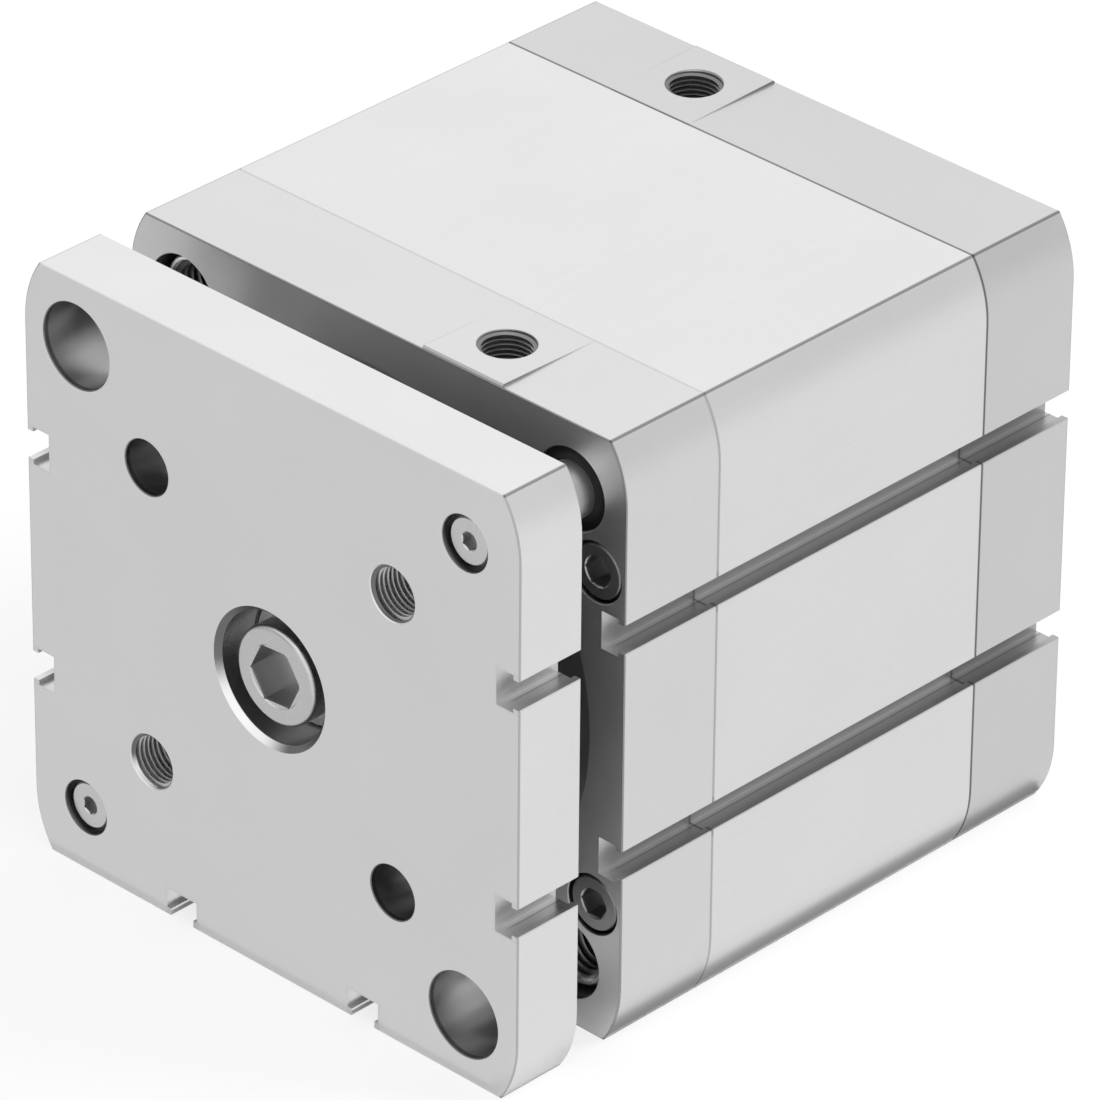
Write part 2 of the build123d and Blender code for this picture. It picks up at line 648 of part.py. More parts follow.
def piston_screw():
    seat = PISTON_BACK - PISTON_SCREW_SEAT
    head = (PISTON_SCREW_HEAD_D, PISTON_SCREW_HEAD_L, PISTON_SCREW_HEX)
    screw = socket_screw(*head, ROD_THREAD_D, PISTON_SCREW_L)
    return at(Rot(0, 0, 180) * screw, 0, seat + PISTON_SCREW_HEAD_L, 0)


FRONT_BUSH_START = CAP_FRONT + GUIDE_WIPER_SEAT + GUIDE_BUSH_SET
REAR_BUSH_START = BARREL_FRONT + GUIDE_BUSH_SET

NODES = {
    "yoke_plate": yoke_plate(),
    "yoke_centre_screw": centre_screw(),
    "yoke_centre_washer": centre_washer(),
    "guide_rod_screws": guide_rod_screws(),
    "piston_rod": piston_rod(),
    "piston_front_disc": piston_front_disc(),
    "piston_rear_disc": piston_rear_disc(),
    "piston_rod_seal": piston_rod_seal(),
    "piston_magnet": piston_magnet(),
    "piston_front_seal": piston_seal(PISTON_FRONT, REARWARD),
    "piston_rear_seal": piston_seal(PISTON_BACK, FORWARD),
    "piston_guide_band": piston_guide_band(),
    "piston_screw": piston_screw(),
    "front_cap": front_cap(),
    "barrel": barrel(),
    "rear_cap": rear_cap(),
    "rod_wiper_seal": rod_wiper_seal(),
    "rod_bush": rod_bush(),
    "front_bumper": bumper(BARREL_FRONT, REARWARD),
    "rear_bumper": bumper(BARREL_BACK, FORWARD),
    "front_cap_seal": cap_seal(BARREL_FRONT, REARWARD),
    "rear_cap_seal": cap_seal(BARREL_BACK, FORWARD),
    "tie_screws": tie_screws(),
    "front_corner_screws": front_corner_screws(),
    "rear_corner_screws": rear_corner_screws(),
}
for place in GUIDE_CORNERS:
    NODES[place + "_guide_rod"] = guide_rod(place)
    NODES[place + "_guide_wiper"] = guide_wiper(place)
    NODES[place + "_guide_front_bush"] = guide_bush(place, FRONT_BUSH_START, GUIDE_FRONT_BUSH_L)
    NODES[place + "_guide_rear_bush"] = guide_bush(place, REAR_BUSH_START, GUIDE_REAR_BUSH_L)

os.makedirs("parts", exist_ok=True)
for name, piece in NODES.items():
    export_step(piece, "parts/" + name + ".step")
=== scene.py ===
import bpy
import bmesh
import math
from mathutils import Matrix, Vector


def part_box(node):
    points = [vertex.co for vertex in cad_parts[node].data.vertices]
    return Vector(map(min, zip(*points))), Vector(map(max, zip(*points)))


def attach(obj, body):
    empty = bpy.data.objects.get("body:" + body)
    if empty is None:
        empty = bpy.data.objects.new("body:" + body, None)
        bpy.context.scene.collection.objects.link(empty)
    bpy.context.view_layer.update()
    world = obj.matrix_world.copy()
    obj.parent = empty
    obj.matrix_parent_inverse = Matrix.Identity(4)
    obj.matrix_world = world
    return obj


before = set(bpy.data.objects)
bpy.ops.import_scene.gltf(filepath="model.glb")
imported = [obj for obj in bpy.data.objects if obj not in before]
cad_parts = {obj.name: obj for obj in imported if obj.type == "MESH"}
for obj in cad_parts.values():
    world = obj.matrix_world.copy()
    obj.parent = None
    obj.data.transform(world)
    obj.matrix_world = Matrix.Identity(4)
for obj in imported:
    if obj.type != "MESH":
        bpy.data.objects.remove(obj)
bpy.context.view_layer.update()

# A guided pneumatic cylinder: satin aluminium plate, caps and barrel, steel screws and black wipers.
# Metres. X to the right, the plate at -Y, Z up, with the floor at 0.

MM = 0.001

# Camera at the photograph's viewing angle
EYE = (0.915587, -0.951917, 0.841285)
LOOK = (-0.59233, 0.62095, -0.51338)
RIGHTWARD = (0.71957, 0.69435, 0.00961)
LENS = 300.99
SENSOR = 36.0
SHIFT = (-0.02915, 0.01218)

# The block's section, measured from its centre line: flat top and bottom, bowed sides
HALF = 56.75 * MM
AXIS_Z = 56.75 * MM
CORNER_EDGE_X = 53.05 * MM
BOW_X = 36.75 * MM
BOW_Z = 45.16 * MM
BOW_R = 20 * MM

# T-slots: where they lie, how far their surfaces reach, and how far in their lip and their painted shadow
# line are
SLOT_OFFSET = 21.4 * MM
SLOT_REACH = 3.8 * MM
SLOT_DEPTH = 5.4 * MM
SLOT_FLOOR = 3.5 * MM
SLOT_LIP = 1.4 * MM
SLOT_SHADOW_LINE = 4.1 * MM

# Ports as X and Y, with their radius and half the width of their lands
FRONT_PORT = (20 * MM, -31.0 * MM)
REAR_PORT = (-20 * MM, 55.0 * MM)
PORT_REACH = 5.0 * MM
LAND_REACH = 9.0 * MM

# Screws and holes along Y, as offsets from the block's centre line
CORNER = 44.5 * MM
FIXING = 28.284 * MM
TIE_X, TIE_Z = 50.3 * MM, 31.5 * MM

# Around the holes of the plate: how far the painted shade and highlights reach, and which way their side with
# the painted highlight lies
POCKET_REACH = 15 * MM
TAP_REACH = 6 * MM
LIT_SIDE = math.radians(237)

# A wall counts as deep from here under every outer face
DEEP = (0.9 * MM, 1.2 * MM)

BLACK = (0.0, 0.0, 0.0, 1.0)
WHITE = (1.0, 1.0, 1.0, 1.0)


def aim_camera():
    camera = bpy.data.objects.new("Camera", bpy.data.cameras.new("Camera"))
    bpy.context.scene.collection.objects.link(camera)
    look = Vector(LOOK).normalized()
    right = Vector(RIGHTWARD)
    right = (right - look * right.dot(look)).normalized()
    turn = Matrix((right, right.cross(look), -look)).transposed()
    camera.matrix_world = Matrix.Translation(EYE) @ turn.to_4x4()
    camera.data.lens = LENS
    camera.data.sensor_width = SENSOR
    camera.data.shift_x, camera.data.shift_y = SHIFT
    camera.data.clip_end = 100
    bpy.context.scene.camera = camera


# Shader maths

class Value:
    """A node's output. Arithmetic on it adds Math nodes."""

    def __init__(self, bench, socket):
        self.bench = bench
        self.socket = socket

    def maths(self, operation, *terms):
        return self.bench.node("ShaderNodeMath", {"operation": operation}, dict(enumerate(terms)))

    def __add__(self, other):
        return self.maths("ADD", self, other)

    def __radd__(self, other):
        return self.maths("ADD", other, self)

    def __sub__(self, other):
        return self.maths("SUBTRACT", self, other)

    def __rsub__(self, other):
        return self.maths("SUBTRACT", other, self)

    def __mul__(self, other):
        return self.maths("MULTIPLY", self, other)

    def __rmul__(self, other):
        return self.maths("MULTIPLY", other, self)

    def __truediv__(self, other):
        return self.maths("DIVIDE", self, other)

    def __rtruediv__(self, other):
        return self.maths("DIVIDE", other, self)

    def __pow__(self, other):
        return self.maths("POWER", self, other)

    def __abs__(self):
        return self.maths("ABSOLUTE", self)

    def least(self, other):
        return self.maths("MINIMUM", self, other)

    def most(self, other):
        return self.maths("MAXIMUM", self, other)

    def between(self, low, high, start=0.0, end=1.0):
        # Smooth step from start at low to end at high
        settings = {"interpolation_type": "SMOOTHSTEP"}
        sockets = {"Value": self, "From Min": low, "From Max": high, "To Min": start, "To Max": end}
        return self.bench.node("ShaderNodeMapRange", settings, sockets)

    def fading(self, low, high):
        # Smooth step from 1 at low to 0 at high
        return 1 - self.between(low, high)

    def swing(self, amount):
        # A noise of 0 to 1 as a swing of this amount around 0
        return (self - 0.5) * amount


class Bench:
    """A node tree, built node by node."""

    def __init__(self, tree):
        self.tree = tree

    def node(self, kind, settings, sockets, result=0):
        made = self.tree.nodes.new(kind)
        for name, value in settings.items():
            setattr(made, name, value)
        for socket, value in sockets.items():
            self.feed(made.inputs[socket], value)
        return Value(self, made.outputs[result])

    def feed(self, socket, value):
        if isinstance(value, Value):
            self.tree.links.new(value.socket, socket)
        else:
            socket.default_value = value


class Finish(Bench):
    """A material on Object coordinates."""

    MIX_FACTOR, MIX_A, MIX_B, MIX_RESULT = 0, 6, 7, 2

    def __init__(self, name, **constants):
        self.material = bpy.data.materials.new(name)
        self.material.use_nodes = True
        super().__init__(self.material.node_tree)
        self.shader = next(node for node in self.tree.nodes if node.type == "BSDF_PRINCIPLED")
        self.output = next(node for node in self.tree.nodes if node.type == "OUTPUT_MATERIAL")
        for socket, value in constants.items():
            self.shader.inputs[socket.replace("_", " ")].default_value = value
        self.place = self.node("ShaderNodeTexCoord", {}, {}, "Object")
        self.x, self.y, self.z = (self.split(self.place, axis) for axis in "XYZ")

    def split(self, vector, axis):
        return self.node("ShaderNodeSeparateXYZ", {}, {"Vector": vector}, axis)

    def join(self, x, y, z):
        return self.node("ShaderNodeCombineXYZ", {}, {"X": x, "Y": y, "Z": z})

    def noise(self, size, vector=None, detail=2.0, roughness=0.5):
        # Noise whose grains are about this size
        sockets = {"Vector": vector or self.place, "Scale": 1 / size,
                   "Detail": detail, "Roughness": roughness}
        return self.node("ShaderNodeTexNoise", {"noise_dimensions": "3D"}, sockets, "Fac")

    def blend(self, factor, first, second):
        settings = {"data_type": "RGBA", "blend_type": "MIX"}
        sockets = {self.MIX_FACTOR: factor, self.MIX_A: first, self.MIX_B: second}
        return self.node("ShaderNodeMix", settings, sockets, self.MIX_RESULT)

    def grey(self, tone):
        # A grey from a value, as a colour
        return self.blend(tone, BLACK, WHITE)

    def relief(self, height, depth, strength=1.0):
        sockets = {"Strength": strength, "Distance": depth, "Height": height}
        return self.node("ShaderNodeBump", {}, sockets, "Normal")

    def set(self, **sockets):
        for socket, value in sockets.items():
            self.feed(self.shader.inputs[socket.replace("_", " ")], value)
        return self


# Places on the block. A mask is 1 in the place that it names and 0 elsewhere

def distance(across, up):
    return (across * across + up * up) ** 0.5


def radius_from(finish, offset_x, offset_z):
    # Distance from the nearest of the axes along Y at plus or minus these offsets
    across = abs(finish.x) - offset_x if offset_x else finish.x
    up = abs(finish.z - AXIS_Z) - offset_z if offset_z else finish.z - AXIS_Z
    return distance(across, up)


def edge_painted_shade(finish, width):
    # A painted dark reflection along the edge where the top or bottom meets the bowed corner, fainter on the
    # left
    away = distance(abs(finish.x) - CORNER_EDGE_X, abs(finish.z - AXIS_Z) - HALF)
    return away.fading(width / 2, width) * finish.x.between(-MM, MM, 0.3, 1.0)


def depths(finish, front, back):
    # How far a point lies under the block's bowed sides, flat top or bottom, front end and back end
    across = (abs(finish.x) - BOW_X).most(0.0)
    up = (abs(finish.z - AXIS_Z) - BOW_Z).most(0.0)
    side = BOW_R - distance(across, up)
    top = HALF - abs(finish.z - AXIS_Z)
    return side, top, finish.y - front, back - finish.y


def within(value, middle, reach):
    # A value within reach of a middle value
    return abs(value - middle).fading(reach, reach * 1.05)


def slotted(finish):
    # The T-slots of the sides and the bottom
    level = finish.z - AXIS_Z
    beyond = SLOT_DEPTH * 1.05
    side = within(abs(level), SLOT_OFFSET, SLOT_REACH)
    side = side * (HALF - abs(finish.x)).fading(SLOT_DEPTH, beyond)
    bottom = within(abs(finish.x), SLOT_OFFSET, SLOT_REACH)
    bottom = bottom * (HALF + level).fading(SLOT_DEPTH, beyond)
    return side.most(bottom)


def port_mouth(finish, port):
    # The port's wall
    away = distance(finish.x - port[0], finish.y - port[1])
    return away.fading(PORT_REACH, PORT_REACH + 0.06 * MM)


def highlight_side(finish, middle_x, middle_z, size):
    # Where a painted highlight goes: the lower left of one hole in the plate, whose middle is given from the
    # plate's
    across, up = finish.x - middle_x, finish.z - AXIS_Z - middle_z
    reach = distance(across, up)
    towards = (across * math.cos(LIT_SIDE) + up * math.sin(LIT_SIDE)) / reach
    return towards.between(0.6, 0.95) * reach.fading(size, size * 1.02)


def tapped(finish):
    # The two threaded holes of the plate, upper right and lower left of its middle
    near = radius_from(finish, FIXING, FIXING).fading(TAP_REACH, TAP_REACH + 0.1 * MM)
    return near * (finish.x * (finish.z - AXIS_Z)).between(-MM * MM, MM * MM)


# Painted shade and light on the block

def rim_and_seam_shade(finish, under, front_rim_shade, back_rim_shade):
    # Painted shade along the two rims of a block and in its seams, each given as its strength on the sides,
    # on top and in the slots
    side, top, from_front, from_back = under
    faces = (side, top, 1 - slotted(finish))
    dark = None
    for end, strengths in ((from_front, front_rim_shade), (from_back, back_rim_shade)):
        for face, strength in zip(faces, strengths):
            line = face.most(end).fading(0.18 * MM, 0.34 * MM) * strength
            dark = line if dark is None else dark.most(line)
    return dark


def land_shade(finish, under, port):
    # Painted shade on the walls of the port's land, on the bevel at its outer end and below that bevel
    side, top, from_front, from_back = under
    wall_shade, bevel_shade = 0.55, 0.3
    blend = 0.1 * MM
    aside = abs(finish.x - port[0])
    outer = from_back if port[0] < 0 else from_front
    wall = aside.between(LAND_REACH - blend, LAND_REACH) * outer.fading(4 * MM, 20 * MM)
    wall = wall * top.fading(-0.04 * MM, -0.01 * MM)
    bevel = aside.fading(LAND_REACH, LAND_REACH + blend) * outer.fading(0.5 * MM, 0.65 * MM)
    bevel = bevel * top.fading(0.2 * MM, 0.35 * MM)
    return (wall * wall_shade).most(bevel * bevel_shade)


def slot_painted_shade(finish, brightness):
    # Painted shade and brightness inside a side slot: lip, wall, and a floor that is darker up to a painted
    # shadow line near its back
    lip, wall, near_floor, far_floor, shadow_line = 0.7, 0.74, 0.76, 0.95, 0.7
    level = finish.z - AXIS_Z
    above = abs(level - SLOT_OFFSET + SLOT_FLOOR).least(abs(level + SLOT_OFFSET + SLOT_FLOOR))
    inwards = HALF - abs(finish.x)
    shadow_lined = abs(inwards - SLOT_SHADOW_LINE).between(0.12 * MM, 0.3 * MM, shadow_line, 1.0)
    floor = inwards.between(SLOT_SHADOW_LINE, SLOT_SHADOW_LINE + 0.15 * MM, near_floor, far_floor) * shadow_lined
    inside = above.between(0.05 * MM, 0.15 * MM, floor, wall)
    return inwards.between(SLOT_LIP - 0.05 * MM, SLOT_LIP + 0.05 * MM, lip, inside) * brightness


def hole_shade(finish, under, in_slot, mouth_shade, lit, pale_taps):
    # Painted shade in the mouths of the front face's holes, below 0 where a painted highlight lies on a lit
    # side
    side, top, from_front, from_back = under
    lit_gain = 0.15
    in_hole = from_front.between(0.01 * MM, 0.04 * MM) * from_front.fading(*DEEP)
    in_hole = in_hole * side.least(top).between(0.4 * MM, 0.6 * MM)
    shade = in_hole * (1 - in_slot) * mouth_shade
    if lit:
        bright = highlight_side(finish, *lit)
        shade = shade * (1 - bright) - in_hole * bright * lit_gain
    if pale_taps:
        shade = shade * (1 - tapped(finish))
    return shade


# Materials

NO_RIM_SHADE = (0.0, 0.0, 0.0)
BLAST_GRAIN = 0.16 * MM
BLAST_DEPTH = 0.012 * MM
SPECK = 0.5 * MM
CLOUD = 26 * MM
DRAWN_STREAK = 20 * MM
DRAWN_SQUEEZE = 60
EDGE_SHADE_WIDTH = 0.42 * MM
TURNED_RING = 0.12 * MM
TURNED_DEPTH = 0.004 * MM
GROUND_MARK = 0.15 * MM
GROUND_STRETCH = 0.05
GROUND_DEPTH = 0.002 * MM
PORE = 0.3 * MM
PORE_DEPTH = 0.02 * MM


def satin_aluminium(name, ends, tone, roughness, lines=0.0, front_rim_shade=NO_RIM_SHADE, back_rim_shade=NO_RIM_SHADE,
                    port=None, deep_wall_shade=0.45, front=(1.0, 1.0), slots=1.0, slot_lit_mouth=None,
                    mouth_shade=0.0, lit=None, pale_taps=False):
    """Clear-anodised aluminium: blasted grain, faint clouds, drawing lines along Y where asked, and smoother
    walls in its slots and bores, painted darker as shade. Painted shade runs along its rims, in its seams,
    and beside the land of its port.
    The mouths of the holes in its front have painted shade too, with a painted highlight on a lit side, and
    none in pale threaded holes.
    front is the painted light on the front face, given as its brightness at its foot and at its top."""
    finish = Finish(name, Metallic=1.0)
    under = depths(finish, *ends)
    side, top, from_front, from_back = under
    deep = side.least(top).least(from_front).least(from_back).between(*DEEP)
    in_slot = slotted(finish) * side.between(0.05 * MM, 0.25 * MM)

    grain = finish.noise(BLAST_GRAIN, detail=3.0, roughness=0.6)
    cloud = finish.noise(CLOUD, detail=3.0)
    speck = finish.noise(SPECK, detail=2.0)
    along_y = finish.join(finish.x * DRAWN_SQUEEZE, finish.y, finish.z * DRAWN_SQUEEZE)
    streak = finish.noise(DRAWN_STREAK, along_y, detail=4.0, roughness=0.65)
    colour = tone + cloud.swing(0.05) + speck.swing(0.035) + streak.swing(0.05 * lines)

    # Painted dark reflection along the corner edges, which are also a little rougher
    edge_shade = edge_painted_shade(finish, EDGE_SHADE_WIDTH)
    # Painted shade along the rims and in the seams between parts
    shade = rim_and_seam_shade(finish, under, front_rim_shade, back_rim_shade)
    # Painted shade in the hole mouths, with a painted highlight on their lit side
    mouth = hole_shade(finish, under, in_slot, mouth_shade, lit, pale_taps)
    # Painted shade beside the port's land and in the port's bore
    if port:
        shade = shade.most(land_shade(finish, under, port))
        mouth = mouth.most(port_mouth(finish, port) * (0.65 - deep * 0.37))
    # Painted shade inside the slots, painted lighter towards a slot's mouth in the front face where that is
    # asked
    within_slot = slot_painted_shade(finish, slots)
    if slot_lit_mouth:
        within_slot = from_front.between(0.5 * MM, slot_lit_mouth, 0.95, within_slot)
    # Painted light on the front face, graded from its foot to its top
    front_painted_light = (finish.z - AXIS_Z).between(-HALF, HALF, *front)
    # Painted shade on the deep walls of bores and slots, which are also made smoother
    colour = colour * (1 - edge_shade * 0.55) * (1 - shade) * (1 - mouth) * (1 - deep * (1 - in_slot) * deep_wall_shade)
    colour = colour * (1 - in_slot + in_slot * within_slot)
    colour = colour * from_front.between(0.05 * MM, 0.12 * MM, front_painted_light, 1.0)

    gloss = roughness + cloud.swing(0.08) + speck.swing(0.06) + edge_shade * 0.1 - deep * 0.06
    blasted = finish.relief(grain + streak * (lines * 1.5), BLAST_DEPTH, 0.5)
    return finish.set(Base_Color=finish.grey(colour), Roughness=gloss, Normal=blasted)


def turned_steel(name, offset_x, offset_z, faces, tone=0.62, roughness=0.27, rim=None, socket_shade=0.4):
    """Zinc-plated steel with faint turning rings about its axis, and a socket below the head's face that is
    rougher and painted darker as shade.
    The bevel round the head, outside a radius, may have painted shade too."""
    finish = Finish(name, Metallic=1.0)
    radius = radius_from(finish, offset_x, offset_z)
    face, socket = faces
    sunk = (finish.y - face).between(0.3 * MM, 0.8 * MM) * radius.fading(socket, socket * 1.05)
    rings = finish.noise(TURNED_RING, finish.join(radius, radius * 0.3, 0.0), detail=2.0)
    cloud = finish.noise(3 * MM, detail=3.0)
    colour = tone + cloud.swing(0.06) + rings.swing(0.04)
    # Painted shade in the socket below the head's face
    colour = colour * (1 - sunk * socket_shade)
    # Painted shade on the bevel round the head
    if rim:
        colour = colour * radius.between(rim - 0.1 * MM, rim, 1.0, 0.45)
    gloss = roughness + cloud.swing(0.14) + rings.swing(0.08) + sunk * 0.1
    turned = finish.relief(rings, TURNED_DEPTH, 0.25)
    return finish.set(Base_Color=finish.grey(colour), Roughness=gloss, Normal=turned)


def ground_chrome(name):
    """Hard chrome ground round and round."""
    finish = Finish(name, Metallic=1.0)
    around = finish.join(finish.x * GROUND_STRETCH, finish.y, finish.z * GROUND_STRETCH)
    marks = finish.noise(GROUND_MARK, around, detail=3.0)
    cloud = finish.noise(8 * MM, detail=2.0)
    colour = 0.66 + cloud.swing(0.04) + marks.swing(0.03)
    gloss = 0.4 + marks.swing(0.06) + cloud.swing(0.04)
    ground = finish.relief(marks, GROUND_DEPTH, 0.3)
    return finish.set(Base_Color=finish.grey(colour), Roughness=gloss, Normal=ground)


def moulded(name, dark, light, roughness, grain_size, depth):
    """Moulded elastomer or plastic: two close colours in soft clouds, with fine grain."""
    finish = Finish(name, Metallic=0.0, Specular_IOR_Level=0.3)
    grain = finish.noise(grain_size, detail=3.0, roughness=0.6)
    cloud = finish.noise(4 * MM, detail=2.0)
    mixed = finish.blend((cloud * 0.6 + grain * 0.4).between(0.35, 0.65), dark, light)
    gloss = roughness + grain.swing(0.2) + cloud.swing(0.1)
    return finish.set(Base_Color=mixed, Roughness=gloss, Normal=finish.relief(grain, depth, 0.6))


def sintered_bronze(name):
    """Bronze with the open pores of sintered metal."""
    finish = Finish(name, Metallic=1.0)
    pores = finish.noise(PORE, detail=3.0, roughness=0.7).between(0.58, 0.68)
    cloud = finish.noise(3 * MM, detail=2.0)
    body = finish.blend(cloud, (0.52, 0.32, 0.15, 1.0), (0.66, 0.44, 0.22, 1.0))
    colour = finish.blend(pores, body, (0.10, 0.06, 0.03, 1.0))
    gloss = 0.38 + pores * 0.35 + cloud.swing(0.1)
    pitted = finish.relief(1 - pores, PORE_DEPTH, 0.5)
    return finish.set(Base_Color=colour, Roughness=gloss, Normal=pitted)


def ends_of(front_node, back_node):
    # Where a stretch of nodes begins and ends along Y
    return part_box(front_node)[0].y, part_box(back_node)[1].y


def sunk_from(node, socket):
    # The head's face and the radius of its socket
    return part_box(node)[0].y, socket


plate_ends = ends_of("yoke_plate", "yoke_plate")
barrel_ends = ends_of("barrel", "barrel")
body_ends = ends_of("front_cap", "rear_cap")
piston_ends = ends_of("piston_front_disc", "piston_rear_disc")
front_cap_ends = (body_ends[0], barrel_ends[0])
rear_cap_ends = (barrel_ends[1], body_ends[1])

PLATE = satin_aluminium("satin_plate_aluminium", plate_ends, tone=0.82, roughness=0.36,
                        front_rim_shade=(0.4, 0.1, 0.0), deep_wall_shade=0.43, slots=1.1, slot_lit_mouth=4 * MM,
                        mouth_shade=0.75, lit=(0.0, 0.0, POCKET_REACH), pale_taps=True)
THREAD = satin_aluminium("cut_thread_aluminium", plate_ends, tone=0.80, roughness=0.36,
                         deep_wall_shade=0.1, mouth_shade=0.75, lit=(-FIXING, -FIXING, TAP_REACH))
# The front cap's front face, in the gap behind the plate, gets painted light towards its foot
FRONT_CAP = satin_aluminium("blasted_front_cap_aluminium", front_cap_ends, tone=0.75, roughness=0.40,
                            front_rim_shade=(0.6, 0.6, 0.0), back_rim_shade=(0.36, 0.12, 0.5), port=FRONT_PORT,
                            deep_wall_shade=0.25, front=(1.5, 0.95), slot_lit_mouth=4 * MM, mouth_shade=0.6)
REAR_CAP = satin_aluminium("blasted_rear_cap_aluminium", rear_cap_ends, tone=0.68, roughness=0.40,
                           front_rim_shade=(0.7, 0.6, 0.5), back_rim_shade=(0.3, 0.0, 0.0), port=REAR_PORT,
                           deep_wall_shade=0.25)
BARREL = satin_aluminium("drawn_barrel_aluminium", barrel_ends, tone=0.80, roughness=0.38, lines=1.0,
                         front_rim_shade=(0.36, 0.12, 0.5), back_rim_shade=(0.7, 0.6, 0.5))
PISTON = satin_aluminium("turned_piston_aluminium", piston_ends, tone=0.70, roughness=0.30)

CENTRE_STEEL = turned_steel("plated_centre_screw_steel", 0, 0,
                            sunk_from("yoke_centre_screw", 5.9 * MM), tone=0.66)
GUIDE_STEEL = turned_steel("plated_guide_screw_steel", CORNER, CORNER,
                           sunk_from("guide_rod_screws", 2.0 * MM), tone=0.7)
CORNER_STEEL = turned_steel("plated_corner_screw_steel", CORNER, CORNER,
                            sunk_from("front_corner_screws", 5.1 * MM), tone=0.85, socket_shade=0.65)
REAR_STEEL = turned_steel("plated_rear_screw_steel", CORNER, CORNER,
                          sunk_from("rear_corner_screws", 5.1 * MM))
# The tie screws sit in the shaded gap behind the plate: their low tone is painted shade, and so is the darker
# bevel round their heads
TIE_STEEL = turned_steel("plated_tie_screw_steel", TIE_X, TIE_Z,
                         sunk_from("tie_screws", 3.0 * MM), tone=0.48, roughness=0.34, rim=4.8 * MM)

CHROME = ground_chrome("ground_rod_chrome")
RUBBER = moulded("black_wiper_rubber", (0.006, 0.006, 0.006, 1), (0.016, 0.016, 0.016, 1),
                 roughness=0.55, grain_size=0.12 * MM, depth=0.01 * MM)
BRONZE = sintered_bronze("sintered_bush_bronze")
BAND = moulded("filled_guide_band", (0.05, 0.035, 0.03, 1), (0.10, 0.07, 0.05, 1),
               roughness=0.45, grain_size=0.2 * MM, depth=0.01 * MM)
MAGNET = moulded("bonded_magnet", (0.03, 0.03, 0.035, 1), (0.09, 0.09, 0.10, 1),
                 roughness=0.55, grain_size=0.25 * MM, depth=0.02 * MM)

DRESS = {
    "yoke_plate": PLATE,
    "front_cap": FRONT_CAP,
    "rear_cap": REAR_CAP,
    "barrel": BARREL,
    "piston_front_disc": PISTON,
    "piston_rear_disc": PISTON,
    "yoke_centre_screw": CENTRE_STEEL,
    "yoke_centre_washer": CENTRE_STEEL,
    "piston_screw": CENTRE_STEEL,
    "guide_rod_screws": GUIDE_STEEL,
    "front_corner_screws": CORNER_STEEL,
    "rear_corner_screws": REAR_STEEL,
    "tie_screws": TIE_STEEL,
    "piston_rod": CHROME,
    "rod_bush": BRONZE,
    "piston_guide_band": BAND,
    "piston_magnet": MAGNET,
}
for rubber in ("rod_wiper_seal", "piston_rod_seal", "piston_front_seal", "piston_rear_seal",
               "front_bumper", "rear_bumper", "front_cap_seal", "rear_cap_seal"):
    DRESS[rubber] = RUBBER
for place in ("upper", "lower"):
    DRESS[place + "_guide_rod"] = CHROME
    DRESS[place + "_guide_wiper"] = RUBBER
    DRESS[place + "_guide_front_bush"] = BRONZE
    DRESS[place + "_guide_rear_bush"] = BRONZE

for node, finish in DRESS.items():
    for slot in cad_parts[node].material_slots:
        slot.material = finish.material


# Threads

